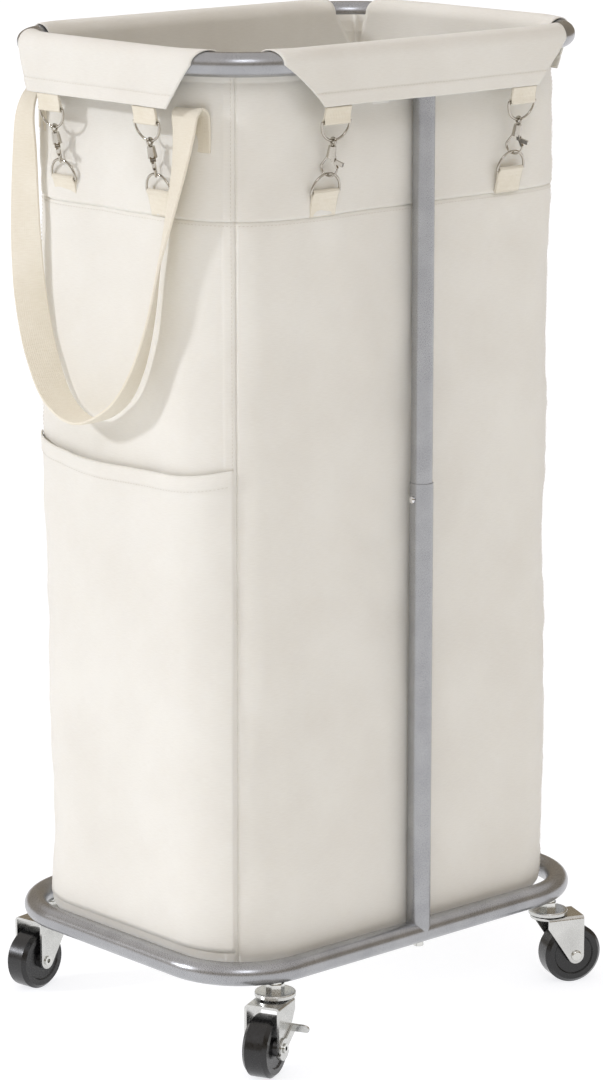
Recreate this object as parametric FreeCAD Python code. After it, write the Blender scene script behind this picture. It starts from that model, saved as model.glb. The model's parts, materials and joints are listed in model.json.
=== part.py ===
"""Laundry sorter on wheels: a fabric bag hung in a two-ring tube frame on four swivel casters.

Millimetres, +Z up, origin on the floor under the middle. The long sides run along Y, the pocket
and the handle are on the -Y end, and one side post stands at the middle of each long side.
"""
import FreeCAD
import Part

import math
import os

Vector = FreeCAD.Vector
Rotation = FreeCAD.Rotation
Placement = FreeCAD.Placement

os.makedirs("parts", exist_ok=True)

X, Y, Z = Vector(1, 0, 0), Vector(0, 1, 0), Vector(0, 0, 1)
ORIGIN = Vector(0, 0, 0)

# ---------------------------------------------------------------- driving dimensions
# Ring frames: outer sizes, tube and centreline corner radii
frame_width = 310.0          # outside, along X
frame_length = 420.0         # outside, along Y
tube_od = 19.0
tube_wall = 1.2
base_corner_radius = 66.0
rim_corner_radius = 78.0
base_rise = 20.5             # centreline of the base ring above the fork's crown
rim_height = 796.0           # centreline of the rim ring above the floor

# Crossbars under the bag
crossbar_diameter = 8.0
crossbar_spacing = 190.0

# Side posts, telescoping with a spring button
lower_post_od = 19.0
lower_post_wall = 0.7
upper_post_wall = 0.9
post_running_clearance = 0.05
lower_post_share = 0.5223    # of the height between the rings, up to the posts' joint
post_overlap = 90.0
button_drop = 13.0           # from the joint to the button
button_radius = 2.9
button_clearance = 0.1
button_stand_out = 2.5       # beyond the lower post
button_flange = 0.7
button_dome_radius = 4.2
spring_thickness = 0.6
spring_width = 6.0
spring_rise = 34.0           # bend of the V above the button
spring_drop = 7.0            # free ends below the button
spring_flat = 6.0            # straight part behind the button
spring_wall_gap = 1.0
plug_length = 15.0
plug_gap = 1.5               # between a plug and its ring's tube
screw_radius = 2.5
screw_hole_clearance = 0.1
screw_head_radius = 4.2
screw_head_height = 2.6
screw_access_gap = 1.0       # round the head, where the driver goes in

# Casters
caster_inset_y = 46.5        # kingpin in from the ring's outermost centreline
wheel_diameter = 50.0
wheel_width = 21.0
wheel_chamfer = 3.0
wheel_hub_radius = 6.5
wheel_recess = 1.2           # depth of the side faces between hub and tread
wheel_tread_band = 7.5       # flat of the side face next to the tread
hub_gap = 0.2                # between the hub's faces and the fork
caster_trail = 20.0
axle_radius = 3.0
axle_clearance = 0.05
axle_head_radius = 4.5
axle_head_height = 2.0
hollow_rivet_radius = 3.9
hollow_bore_radius = 1.8
hollow_depth = 3.0
hollow_stand_out = 1.2
fork_gap = 26.0              # between the fork's legs
fork_plate = 2.0
fork_bend_radius = 3.0
crown_gap = 9.5              # from the wheel's top to the top face of the fork's crown
crown_inset = 1.5            # crown's round nose inside the race's edge
leg_lead = 5.0               # leg's reach ahead of the kingpin
leg_shoulder = 9.5           # straight part of the leg's leading edge under the crown
leg_foot_radius = 7.0
swivel_clearance = 0.06
ball_radius = 1.65
ball_play = 0.05
ball_circle_radius = 11.5
ball_count = 8
race_radius = 16.5
race_lip = 2.0
race_plate = 1.6
race_gap = 1.5               # lip above the crown
race_fillet = 1.2
kingpin_radius = 4.0
kingpin_head_radius = 6.5
kingpin_head_height = 2.2
kingpin_head_gap = 0.1
hex_across_flats = 13.0
insert_radius = 5.5
insert_length = 15.0

# Side brake of the braked casters
brake_plate = 1.5
brake_gap = 0.2              # between the plate and the fork's leg
brake_hub_radius = 8.0
brake_arm_length = 23.0
brake_arm_width = 8.0
brake_arm_angle = 150.0      # from the trailing direction, turning up
brake_toe_length = 13.0
brake_lip_inner = 8.3
brake_lip_outer = 9.8
brake_lip_start, brake_lip_end = 205.0, 335.0
brake_lip_hub_gap = 0.3      # lip clear of the plane of the wheel's hub face

# Bag
fabric = 1.2
frame_fabric_gap = 0.5
floor_gap = 0.2
seam_drop = 120.0            # from the rim to the seam that the lower clip tabs are sewn into
flap_drop = 34.0             # from the rim to the flaps' hems
flap_end_gap = 41.5          # bare ring between a flap's end and the ring's outermost centreline
flap_side_gap = 49.5
flap_end_slant = 20.0        # how much shorter each end of a flap is at its hem
flap_side_slant = 36.0
board_thickness = 3.0
board_inset = 1.3

# Pocket on the -Y end
pocket_drop = 312.0          # from the rim to the ends of the pocket's top edge
pocket_sag = 9.0
pocket_rise = 12.0           # from the base ring to the pocket's bottom
pocket_depth = 4.7
pocket_seam_width = 2.0

# Handle: webbing standing on edge out from the wall, its ends sewn on flat
tape_width = 26.0            # of the handle and of the clip tabs
strap_thickness = 2.4
strap_wall_gap = 0.3
strap_end_thickness = 2.0
strap_drop = 36.0            # from the rim to the strap's folds
strap_end_length = 32.0
strap_left_inset = 35.5      # of the strands from the bag's sides
strap_right_inset = 43.5
strap_hang = 254.0           # from the folds to the loop's lowest point
strap_bottom_x = -28.0       # the lowest point, off the middle
strap_left_turn = 120.0      # from the folds to where each strand starts to turn
strap_right_turn = 15.0
strap_sweep = 36.0           # reach of the curve either side of the lowest point

# Clip sets between the flaps and the seam
clip_end_inset = 26.0        # from the ends of the end flaps' hems
clip_side_inset = 15.0       # from the ends of the side flaps' hems
tab_thickness = 2.2
tab_hem_gap = 0.3
ring_wire = 1.0
ring_bend_radius = 14.5
ring_leg = 0.5
upper_bar = 12.5             # distances down the clip set from the flap's hem
eye_radius = 2.6
eye_wire = 0.9
link_play = 0.1
swivel_pin_radius = 1.2
swivel_pin_clearance = 0.05
swivel_block_length = 9.0
swivel_block_top = 3.0
swivel_block_bottom = 3.8
hook_bow_radius = 7.0
hook_bar = 1.7
hook_thickness = 2.4
hook_reach = 8.0             # from the block down to the bow's centre
lever_pivot_radius = 0.8
lever_pivot_clearance = 0.05
lever_tab = 7.5
lever_block_gap = 0.15       # lever's eye clear of the block
bar_gap = 0.05               # webbing clear of the bar it loops round
eye_block_gap = 0.3          # swivel's eye above the block
tab_wall_gap = 0.2           # lower tabs off the bag's wall
swivel_head_rim = 0.6        # pin head's radius beyond the pin's
swivel_head_low = 1.4        # pin head's faces above the block's lower face
swivel_head_high = 2.4
swivel_head_play = 0.1
hook_root_inset = 1.2        # hook's root inside the block's lower edge
hook_root_rise = 0.6
nose_gap = 0.5               # lever's tip above the hook's nose
nose_inset = 0.1
lever_eye_share = 0.85       # of the hook's bar
lever_across = 2.9           # lever's pivot from the block's axis
lever_side_gap = 0.15        # lever clear of the ears
ear_wall = 1.0               # of the ears either side of the lever
ear_width = 2.6
ear_inset = 1.6              # ears' root inside the block's lower edge
ear_rise = 1.2
ear_past_across, ear_past_down = 0.4, 1.2       # ears beyond the pivot
slot_near, slot_far, slot_drop = 4.0, 9.0, 4.0  # slot between the ears, from the pivot
lever_tab_width = 3.2
lever_tab_root = (0.8, 0.9)  # thumb tab's root from the pivot, across and down
lever_tab_fall = 1.0
side_hook_twist = 20.0       # turn of the hooks about their own length
end_hook_twist = 48.0

# Where each caster stands, and which way it trails at rest (degrees from +X)
CASTERS = [
    {"name": "front_right", "sx": 1, "sy": -1, "trail": -65.0, "brake": True},
    {"name": "rear_right", "sx": 1, "sy": 1, "trail": 68.0, "brake": False},
    {"name": "front_left", "sx": -1, "sy": -1, "trail": -81.0, "brake": False},
    {"name": "rear_left", "sx": -1, "sy": 1, "trail": 115.0, "brake": True},
]

# ---------------------------------------------------------------- derived sizes
crown_height = wheel_diameter + crown_gap
base_height = crown_height + base_rise      # of the base ring's centreline above the floor
tube_radius = tube_od / 2
ring_half_x = frame_width / 2 - tube_radius
ring_half_y = frame_length / 2 - tube_radius
bag_half_x = ring_half_x - tube_radius - frame_fabric_gap
bag_half_y = ring_half_y - tube_radius - frame_fabric_gap
bag_radius = rim_corner_radius - tube_radius - frame_fabric_gap
bag_floor_height = base_height + floor_gap
fold_inner = tube_radius + frame_fabric_gap
fold_outer = fold_inner + fabric
flap_end_top_half = ring_half_x - flap_end_gap
flap_end_hem_half = flap_end_top_half - flap_end_slant
flap_side_top_half = ring_half_y - flap_side_gap
flap_side_hem_half = flap_side_top_half - flap_side_slant
clip_end_offset = flap_end_hem_half - clip_end_inset
clip_side_offset = flap_side_hem_half - clip_side_inset
strap_left = strap_left_inset - bag_half_x
strap_right = bag_half_x - strap_right_inset
lower_post_id = lower_post_od - 2 * lower_post_wall
upper_post_radius = lower_post_id / 2 - post_running_clearance
wheel_radius = wheel_diameter / 2
overlong = 400.0             # reach of cutting tools past whatever they cut
touch_gap = 0.05             # between pieces that touch without a seam
post_joint_height = base_height + lower_post_share * (rim_height - base_height)
button_height = post_joint_height - button_drop
flap_bottom = rim_height - flap_drop
seam_height = rim_height - seam_drop
pocket_height = rim_height - pocket_drop
pocket_bottom = base_height + pocket_rise
strap_top = rim_height - strap_drop
strap_end_bottom = strap_top - strap_end_length
strap_bottom = strap_top - strap_hang


# ---------------------------------------------------------------- shared shapes
def save(name, shapes):
    """Write one node from one solid or a list of separate solids."""
    solids = shapes if isinstance(shapes, list) else [shapes]
    shape = solids[0] if len(solids) == 1 else Part.makeCompound(solids)
    shape.exportStep(f"parts/{name}.step")


def box(x0, x1, y0, y1, z0, z1):
    return Part.makeBox(x1 - x0, y1 - y0, z1 - z0, Vector(x0, y0, z0))


def cylinder(radius, start, end):
    axis = end - start
    return Part.makeCylinder(radius, axis.Length, start, axis)


def prism(points, direction):
    """Extrude a closed polygon along a vector."""
    return Part.Face(Part.makePolygon(points + [points[0]])).extrude(direction)


def placed(shape, placement):
    copy = shape.copy()
    copy.Placement = placement.multiply(copy.Placement)
    return copy


def rounded_wire(half_x, half_y, radius, z):
    """Rounded rectangle about the Z axis, starting in the middle of the +X side."""
    edges = []
    corners = [(1, 1, 0), (-1, 1, 90), (-1, -1, 180), (1, -1, 270)]
    start = Vector(half_x, 0, z)
    for sx, sy, turn in corners:
        centre = Vector(sx * (half_x - radius), sy * (half_y - radius), z)
        at = [centre + Vector(math.cos(math.radians(turn + a)), math.sin(math.radians(turn + a)), 0)
              * radius for a in (0, 45, 90)]
        edges.append(Part.LineSegment(start, at[0]).toShape())
        edges.append(Part.Arc(*at).toShape())
        start = at[2]
    edges.append(Part.LineSegment(start, Vector(half_x, 0, z)).toShape())
    return Part.Wire(edges)


def rounded_block(half_x, half_y, radius, z0, z1):
    return Part.Face(rounded_wire(half_x, half_y, radius, z0)).extrude(Vector(0, 0, z1 - z0))


def ring_rod(corner_radius, height, radius):
    """Solid round rod bent along a ring frame's centreline."""
    path = rounded_wire(ring_half_x, ring_half_y, corner_radius, height)
    profile = Part.Wire(Part.Circle(Vector(ring_half_x, 0, height), Y, radius).toShape())
    return path.makePipe(Part.Face(profile))


def kingpin_place(caster):
    """Point on the base ring's centreline where a caster's stem goes in."""
    y = ring_half_y - caster_inset_y
    past_bend = max(0.0, y - (ring_half_y - base_corner_radius))
    x = ring_half_x - base_corner_radius + math.sqrt(base_corner_radius ** 2 - past_bend ** 2)
    return Vector(caster["sx"] * x, caster["sy"] * y, 0)


# ---------------------------------------------------------------- ring frames
def base_ring():
    ring = ring_rod(base_corner_radius, base_height, tube_radius)
    ring = ring.cut(ring_rod(base_corner_radius, base_height, tube_radius - tube_wall))
    hole = screw_radius + screw_hole_clearance
    for sx in (-1, 1):
        centre = Vector(sx * ring_half_x, 0, base_height)
        ring = ring.cut(cylinder(hole, centre - Z * tube_od, centre + Z * tube_od))
    for caster in CASTERS:
        foot = kingpin_place(caster) + Z * base_height
        ring = ring.cut(cylinder(insert_radius, foot - Z * tube_od, foot))
    return ring


def rim_ring():
    ring = ring_rod(rim_corner_radius, rim_height, tube_radius)
    ring = ring.cut(ring_rod(rim_corner_radius, rim_height, tube_radius - tube_wall))
    for sx in (-1, 1):
        centre = Vector(sx * ring_half_x, 0, rim_height)
        hole = screw_radius + screw_hole_clearance
        ring = ring.cut(cylinder(hole, centre - Z * tube_od, centre))
        ring = ring.cut(cylinder(screw_head_radius + screw_access_gap, centre, centre + Z * tube_od))
    return ring


def crossbars():
    """Two rods whose ends are shaped to the ring they are welded to."""
    ring = ring_rod(base_corner_radius, base_height, tube_radius)
    bars = []
    for sy in (-1, 1):
        height = base_height - crossbar_diameter / 2
        centre = Vector(0, sy * crossbar_spacing / 2, height)
        bar = cylinder(crossbar_diameter / 2, centre - X * ring_half_x, centre + X * ring_half_x)
        bars.append(max(bar.cut(ring).Solids, key=lambda solid: solid.Volume))
    return bars


# ---------------------------------------------------------------- side posts
def button_hole(sx):
    centre = Vector(sx * ring_half_x, 0, button_height)
    return cylinder(button_radius + button_clearance, centre, centre - Y * tube_od)


def lower_post(sx):
    foot = Vector(sx * ring_half_x, 0, base_height)
    top = Vector(foot.x, 0, post_joint_height)
    tube = cylinder(lower_post_od / 2, foot, top).cut(cylinder(lower_post_id / 2, foot, top))
    tube = tube.cut(ring_rod(base_corner_radius, base_height, tube_radius))
    return tube.cut(button_hole(sx))


def upper_post(sx):
    foot = Vector(sx * ring_half_x, 0, post_joint_height - post_overlap)
    top = Vector(foot.x, 0, rim_height)
    tube = cylinder(upper_post_radius, foot, top)
    tube = tube.cut(cylinder(upper_post_radius - upper_post_wall, foot, top))
    tube = tube.cut(ring_rod(rim_corner_radius, rim_height, tube_radius))
    return tube.cut(button_hole(sx))


flange_outer_y = -math.sqrt((upper_post_radius - upper_post_wall) ** 2
                            - (button_radius + button_flange) ** 2) + button_clearance
spring_face_y = flange_outer_y + button_flange + touch_gap


def snap_button(sx):
    """Domed button with a flange that stops it inside the upper post."""
    centre = Vector(sx * ring_half_x, 0, button_height)
    tip = -(lower_post_od / 2 + button_stand_out)
    back = flange_outer_y + button_flange
    stem = cylinder(button_radius, Y * back, Y * tip)
    dome = Part.makeSphere(button_dome_radius, Y * (tip + button_dome_radius))
    cap = dome.fuse(cylinder(button_radius, Y * (tip + button_dome_radius), Y * back))
    flange = cylinder(button_radius + button_flange, Y * flange_outer_y, Y * back)
    button = stem.common(cap).fuse(flange)
    return placed(button, Placement(centre, Rotation()))


def snap_spring(sx):
    """V of spring strip: one leg behind the button, the other on the far wall."""
    reach = upper_post_radius - upper_post_wall - spring_wall_gap
    t = spring_thickness
    low, high = button_height - spring_drop, button_height + spring_rise
    near = [Vector(0, spring_face_y, low), Vector(0, spring_face_y + t, low),
            Vector(0, spring_face_y + t, button_height + spring_flat), Vector(0, t, high),
            Vector(0, -t, high), Vector(0, spring_face_y, button_height + spring_flat)]
    far = [Vector(0, reach, low), Vector(0, reach - t, low), Vector(0, -t, high), Vector(0, t, high)]
    legs = [prism([p + X * (sx * ring_half_x - spring_width / 2) for p in outline], X * spring_width)
            for outline in (near, far)]
    return legs[0].fuse(legs[1]).removeSplitter()


def post_plugs():
    plugs = []
    for sx in (-1, 1):
        foot = Vector(sx * ring_half_x, 0, base_height + tube_radius + plug_gap)
        head = Vector(sx * ring_half_x, 0, rim_height - tube_radius - plug_gap)
        for radius, end, way in ((lower_post_id / 2, foot, Z),
                                 (upper_post_radius - upper_post_wall, head, Z * -1)):
            plug = cylinder(radius, end, end + way * plug_length)
            plugs.append(plug.cut(cylinder(screw_radius, end, end + way * plug_length)))
    return plugs


def post_screws():
    screws = []
    grip = plug_length + plug_gap
    for sx in (-1, 1):
        low = Vector(sx * ring_half_x, 0, base_height - tube_radius)
        head = cylinder(screw_head_radius, low - Z * screw_head_height, low + Z * tube_wall)
        head = head.cut(ring_rod(base_corner_radius, base_height, tube_radius))
        screws.append(head.fuse(cylinder(screw_radius, low - Z, low + Z * (tube_od + grip))))
        seat = rim_height - math.sqrt((tube_radius - tube_wall) ** 2 - screw_head_radius ** 2) + touch_gap
        high = Vector(sx * ring_half_x, 0, seat)
        head = cylinder(screw_head_radius, high, high + Z * screw_head_height)
        end = Vector(high.x, 0, rim_height - tube_radius - grip)
        screws.append(head.fuse(cylinder(screw_radius, end, high + Z)))
    return screws


# ---------------------------------------------------------------- casters
# Each is drawn with its kingpin on Z and its wheel trailing along +X.
axle_height = wheel_radius
leg_outer = fork_gap / 2 + fork_plate
axle_centre = Vector(caster_trail, 0, axle_height)
leg_back = caster_trail + leg_foot_radius
race_under = crown_height + 2 * ball_radius + ball_play * 2
race_top = race_under + race_plate
tube_underside = base_height - tube_radius


def caster_stem():
    """Kingpin with its head under the crown, hexagon shoulder and stud, in one piece."""
    crown_underside = crown_height - fork_plate
    head_top = crown_underside - kingpin_head_gap
    stem = cylinder(kingpin_radius, Z * (head_top - kingpin_head_height), Z * (tube_underside + insert_length))
    head = cylinder(kingpin_head_radius, Z * (head_top - kingpin_head_height), Z * head_top)
    corners = [Vector(math.cos(math.radians(a)), math.sin(math.radians(a)), 0)
               * (hex_across_flats / math.sqrt(3)) + Z * race_top for a in range(0, 360, 60)]
    shoulder = prism(corners, Z * (tube_underside - race_top))
    return stem.fuse([head, shoulder])


def stem_insert():
    low, high = Z * tube_underside, Z * (tube_underside + insert_length)
    return cylinder(insert_radius, low, high).cut(cylinder(kingpin_radius, low, high))


def caster_race():
    """Pressed cup over the bearing balls."""
    cup = cylinder(race_radius, Z * (crown_height + race_gap), Z * race_top)
    cup = cup.makeFillet(race_fillet, [edge for edge in cup.Edges if edge.BoundBox.ZMin > race_top - 0.01])
    cup = cup.cut(cylinder(race_radius - race_lip, Z * crown_height, Z * race_under))
    return cup.cut(cylinder(kingpin_radius, Z * crown_height, Z * (race_top + 1)))


def swivel_balls():
    height = crown_height + ball_play + ball_radius
    ring = Vector(ball_circle_radius, 0, height)
    turns = [Rotation(Z, 360.0 * i / ball_count) for i in range(ball_count)]
    return [Part.makeSphere(ball_radius, turn.multVec(ring)) for turn in turns]


def fork():
    """Stamped channel: crown plate with two legs that narrow to a round foot at the axle."""
    front = race_radius - crown_inset
    outer = box(-front, leg_back, -leg_outer, leg_outer, 0, crown_height)
    bends = [edge for edge in outer.Edges
             if edge.BoundBox.ZMin > crown_height - 0.01 and edge.BoundBox.YLength < 0.01]
    outer = outer.makeFillet(fork_bend_radius, bends)
    inner = box(-front - 1, leg_back + 1, -fork_gap / 2, fork_gap / 2, -1, crown_height - fork_plate)
    bends = [edge for edge in inner.Edges
             if edge.BoundBox.ZMin > crown_height - fork_plate - 0.01 and edge.BoundBox.YLength < 0.01]
    channel = outer.cut(inner.makeFillet(fork_bend_radius - fork_plate, bends))
    # side outline: crown strip, tapering leg, round foot
    lead = -leg_lead
    shoulder = Vector(lead, 0, crown_height - leg_shoulder)
    to_foot = axle_centre - shoulder
    spread = math.acos(leg_foot_radius / to_foot.Length)
    angle = math.atan2(-to_foot.z, -to_foot.x) + spread
    tangent = axle_centre + Vector(math.cos(angle), 0, math.sin(angle)) * leg_foot_radius
    leg = prism([Vector(lead, -overlong, crown_height), shoulder - Y * overlong,
                 tangent - Y * overlong, axle_centre - Y * overlong,
                 Vector(leg_back, -overlong, axle_height), Vector(leg_back, -overlong, crown_height)],
                Y * 2 * overlong)
    foot = cylinder(leg_foot_radius, axle_centre - Y * overlong, axle_centre + Y * overlong)
    strip = box(-front, leg_back, -overlong, overlong, crown_height - fork_plate, crown_height)
    body = channel.common(leg.fuse([foot, strip]))
    # plan outline: round nose about the kingpin
    plan = box(0, leg_back, -leg_outer, leg_outer, 0, crown_height)
    nose = cylinder(front, ORIGIN, Z * crown_height)
    body = body.common(plan.fuse(nose).fuse(box(lead, 0, -leg_outer, leg_outer, 0, crown_height)))
    body = body.cut(cylinder(kingpin_radius + swivel_clearance, ORIGIN, Z * crown_height))
    return body.cut(cylinder(axle_radius, axle_centre - Y * leg_outer, axle_centre + Y * leg_outer))


def axle(brake):
    """Rivet: domed head on one side, hollow end on the other, outside any brake lever."""
    far = leg_outer + (brake_gap + brake_plate + brake_gap if brake else 0.0)
    near_end = axle_centre - Y * leg_outer
    pin = cylinder(axle_radius, near_end, axle_centre + Y * far)
    head = cylinder(axle_head_radius, near_end - Y * axle_head_height, near_end)
    rim = [edge for edge in head.Edges if edge.BoundBox.YMax < near_end.y - axle_head_height + 0.01]
    head = head.makeFillet(axle_head_height * 0.7, rim)
    hollow = cylinder(hollow_rivet_radius, axle_centre + Y * far, axle_centre + Y * (far + hollow_stand_out))
    bore = cylinder(hollow_bore_radius, axle_centre + Y * (far - hollow_depth),
                    axle_centre + Y * (far + hollow_stand_out))
    return pin.fuse([head, hollow]).cut(bore)


def wheel():
    """Solid wheel with chamfered shoulders and short hub faces."""
    half, rim = wheel_width / 2, wheel_radius
    hub = fork_gap / 2 - hub_gap
    bore = axle_radius + axle_clearance
    face, slope = half - wheel_recess, 1.0
    side = [(bore, hub), (wheel_hub_radius, hub), (wheel_hub_radius + slope, face),
            (rim - wheel_tread_band - slope, face), (rim - wheel_tread_band, half),
            (rim - wheel_chamfer, half), (rim, half - wheel_chamfer)]
    outline = [Vector(r, y, 0) for r, y in side] + [Vector(r, -y, 0) for r, y in reversed(side)]
    section = Part.Face(Part.makePolygon(outline + [outline[0]]))
    return placed(section.revolve(ORIGIN, Y, 360), Placement(axle_centre, Rotation()))


def arc_plate(radius_in, radius_out, start, end, y0, y1):
    """Part of a flat ring about the axle, between two angles from +X turning towards +Z."""
    ring = cylinder(radius_out, axle_centre + Y * y0, axle_centre + Y * y1)
    ring = ring.cut(cylinder(radius_in, axle_centre + Y * y0, axle_centre + Y * y1))
    steps = 12
    angles = [math.radians(start + (end - start) * i / steps) for i in range(steps + 1)]
    fan = [axle_centre + Y * y0] + [
        axle_centre + Y * y0 + Vector(math.cos(a), 0, math.sin(a)) * radius_out * 2 for a in angles]
    return ring.common(prism(fan, Y * (y1 - y0)))


def brake_lever():
    """Stamped lever on the axle: hub, curved lip reaching in at the wheel, arm and toe."""
    y0 = leg_outer + brake_gap
    y1 = y0 + brake_plate
    hub = cylinder(brake_hub_radius, axle_centre + Y * y0, axle_centre + Y * y1)
    link = arc_plate(brake_hub_radius - 1, brake_lip_outer, brake_lip_start, brake_lip_end, y0, y1)
    lip = arc_plate(brake_lip_inner, brake_lip_outer, brake_lip_start, brake_lip_end,
                    fork_gap / 2 - hub_gap + brake_lip_hub_gap, y1)
    half = brake_arm_width / 2
    arm = box(0, brake_arm_length, y0, y1, -half, half)
    toe = box(brake_arm_length - brake_plate, brake_arm_length, y0, y1 + brake_toe_length - half, -half, half)
    tip = cylinder(half, Vector(brake_arm_length - brake_plate, y1 + brake_toe_length - half, 0),
                   Vector(brake_arm_length, y1 + brake_toe_length - half, 0))
    arm = arm.fuse([toe, tip])
    arm = placed(arm, Placement(Vector(axle_centre.x, 0, axle_centre.z), Rotation(Y, -brake_arm_angle)))
    lever = hub.fuse([link, lip, arm])
    bore = axle_radius + axle_clearance
    lever = lever.cut(cylinder(bore, axle_centre + Y * (y0 - 1), axle_centre + Y * (y1 + 1)))
    return lever.removeSplitter()


def place_caster(caster):
    return Placement(kingpin_place(caster), Rotation(Z, caster["trail"]))


# ---------------------------------------------------------------- bag
def bag_skin(offset_in, offset_out, z0, z1):
    """Upright loop of fabric between two offsets from the bag's outer face."""
    blocks = [rounded_block(bag_half_x + d, bag_half_y + d, bag_radius + d, z0, z1)
              for d in (offset_out, offset_in)]
    return blocks[0].cut(blocks[1])


def side_wedge(side, z0, z1):
    """Everything on one side of the bag between the middles of its two corners."""
    cx, cy = bag_half_x - bag_radius, bag_half_y - bag_radius
    reach = bag_radius * 2
    outlines = {
        "front": [(-cx, -cy), (-cx - reach, -cy - reach), (cx + reach, -cy - reach), (cx, -cy)],
        "back": [(cx, cy), (cx + reach, cy + reach), (-cx - reach, cy + reach), (-cx, cy)],
        "right": [(cx, -cy), (cx + reach, -cy - reach), (cx + reach, cy + reach), (cx, cy)],
        "left": [(-cx, cy), (-cx - reach, cy + reach), (-cx - reach, -cy - reach), (-cx, -cy)],
    }
    return prism([Vector(x, y, z0) for x, y in outlines[side]], Z * (z1 - z0))


def bag_panel(side):
    walls = bag_skin(-fabric, 0, bag_floor_height, rim_height)
    return walls.common(side_wedge(side, bag_floor_height, rim_height))


def bag_floor():
    return rounded_block(bag_half_x - fabric, bag_half_y - fabric, bag_radius - fabric,
                         bag_floor_height, bag_floor_height + fabric)


board_low = bag_floor_height + fabric
board_high = board_low + board_thickness


def base_board():
    inset = fabric + board_inset
    return rounded_block(bag_half_x - inset, bag_half_y - inset, bag_radius - inset, board_low, board_high)


def pocket():
    """Patch pocket sewn at its sides and bottom, its top edge hanging in a shallow curve."""
    top = pocket_height + 20
    front = bag_skin(pocket_depth, pocket_depth + fabric, pocket_bottom, top)
    bottom = bag_skin(0, pocket_depth + fabric, pocket_bottom, pocket_bottom + fabric)
    shell = front.fuse(bottom).common(side_wedge("front", pocket_bottom, top))
    # the side seams close the pouch near the corner seams
    gap = bag_skin(0, pocket_depth + fabric, pocket_bottom, top)
    for sx in (-1, 1):
        corner = Vector(sx * (bag_half_x - bag_radius), -(bag_half_y - bag_radius), pocket_bottom)
        out = Vector(sx, -1, 0).normalize() * bag_radius * 1.4
        along = Vector(sx, 1, 0).normalize() * -pocket_seam_width
        closing = prism([corner, corner + out, corner + out + along, corner + along],
                        Z * (top - pocket_bottom))
        shell = shell.fuse(gap.common(closing))
    # curved top edge
    low = pocket_height - pocket_sag
    left, right = Vector(-bag_half_x, 0, pocket_height), Vector(bag_half_x, 0, pocket_height)
    edge = Part.Arc(left, Vector(0, 0, low), right).toShape()
    rest = [Vector(bag_half_x, 0, top + 1), Vector(-bag_half_x, 0, top + 1)]
    outline = Part.Wire([edge, Part.LineSegment(right, rest[0]).toShape(),
                         Part.LineSegment(rest[0], rest[1]).toShape(),
                         Part.LineSegment(rest[1], left).toShape()])
    return shell.cut(Part.Face(outline).extrude(Y * -overlong)).removeSplitter()


def fold_band():
    """Fabric turned over the rim all round: half round over the tube, then an upright skirt."""
    over = ring_rod(rim_corner_radius, rim_height, fold_outer)
    over = over.cut(ring_rod(rim_corner_radius, rim_height, fold_inner))
    over = over.common(box(-overlong, overlong, -overlong, overlong, rim_height, rim_height + overlong))
    skirts = [rounded_block(ring_half_x + d, ring_half_y + d, rim_corner_radius + d, flap_bottom, rim_height)
              for d in (fold_outer, fold_inner)]
    return over.fuse(skirts[0].cut(skirts[1]))


def flap(side, band):
    """One flap, cut from the band with slanted ends."""
    on_end = side in ("front", "back")
    top_half, hem_half = ((flap_end_top_half, flap_end_hem_half) if on_end
                          else (flap_side_top_half, flap_side_hem_half))
    depth = (ring_half_y if on_end else ring_half_x) / 2
    sign = -1 if side in ("front", "left") else 1
    high, low = rim_height + fold_outer + 1, flap_bottom - 1
    profile = [(-top_half, high), (-top_half, rim_height), (-hem_half, low),
               (hem_half, low), (top_half, rim_height), (top_half, high)]
    if on_end:
        cutter = prism([Vector(a, sign * depth, z) for a, z in profile], Y * sign * overlong)
    else:
        cutter = prism([Vector(sign * depth, a, z) for a, z in profile], X * sign * overlong)
    return band.common(cutter).removeSplitter()


# ---------------------------------------------------------------- handle
def bezier(points):
    curve = Part.BezierCurve()
    curve.setPoles(points)
    return curve.toShape()


def handle():
    """Webbing loop on edge against the -Y end, its lowest point off the middle, with flat ends."""
    half = strap_thickness / 2

    def border(offset):
        """One face of the strap, offset inwards from its centreline."""
        left, right = strap_left + offset, strap_right - offset
        low = Vector(strap_bottom_x, 0, strap_bottom + offset)
        return [Part.LineSegment(Vector(left, 0, strap_top), Vector(left, 0, strap_top - strap_left_turn)).toShape(),
                bezier([Vector(left, 0, strap_top - strap_left_turn), Vector(left, 0, low.z + strap_sweep / 2),
                        low - X * strap_sweep, low]),
                bezier([low, low + X * strap_sweep * 1.6,
                        Vector(right, 0, low.z + strap_sweep * 2), Vector(right, 0, strap_top - strap_right_turn)]),
                Part.LineSegment(Vector(right, 0, strap_top - strap_right_turn), Vector(right, 0, strap_top)).toShape()]

    tops = [Part.LineSegment(Vector(x - half, 0, strap_top), Vector(x + half, 0, strap_top)).toShape()
            for x in (strap_left, strap_right)]
    outline = Part.Wire(Part.__sortEdges__(border(-half) + border(half) + tops))
    loop = Part.Face(outline).extrude(Y * -overlong)
    loop = loop.common(bag_skin(strap_wall_gap, strap_wall_gap + tape_width, strap_bottom - half, strap_top))
    reach = ring_half_y + fold_outer      # the strap's outer edge leans back to stay within the flaps
    loop = loop.common(box(-overlong, overlong, -reach, 0, strap_bottom - half, strap_top))
    ends = bag_skin(0, strap_end_thickness, strap_end_bottom, strap_top)
    patches = [ends.common(box(x - tape_width / 2, x + tape_width / 2, -overlong, 0,
                               strap_end_bottom, strap_top)) for x in (strap_left, strap_right)]
    return loop.fuse(patches).removeSplitter()


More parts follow.
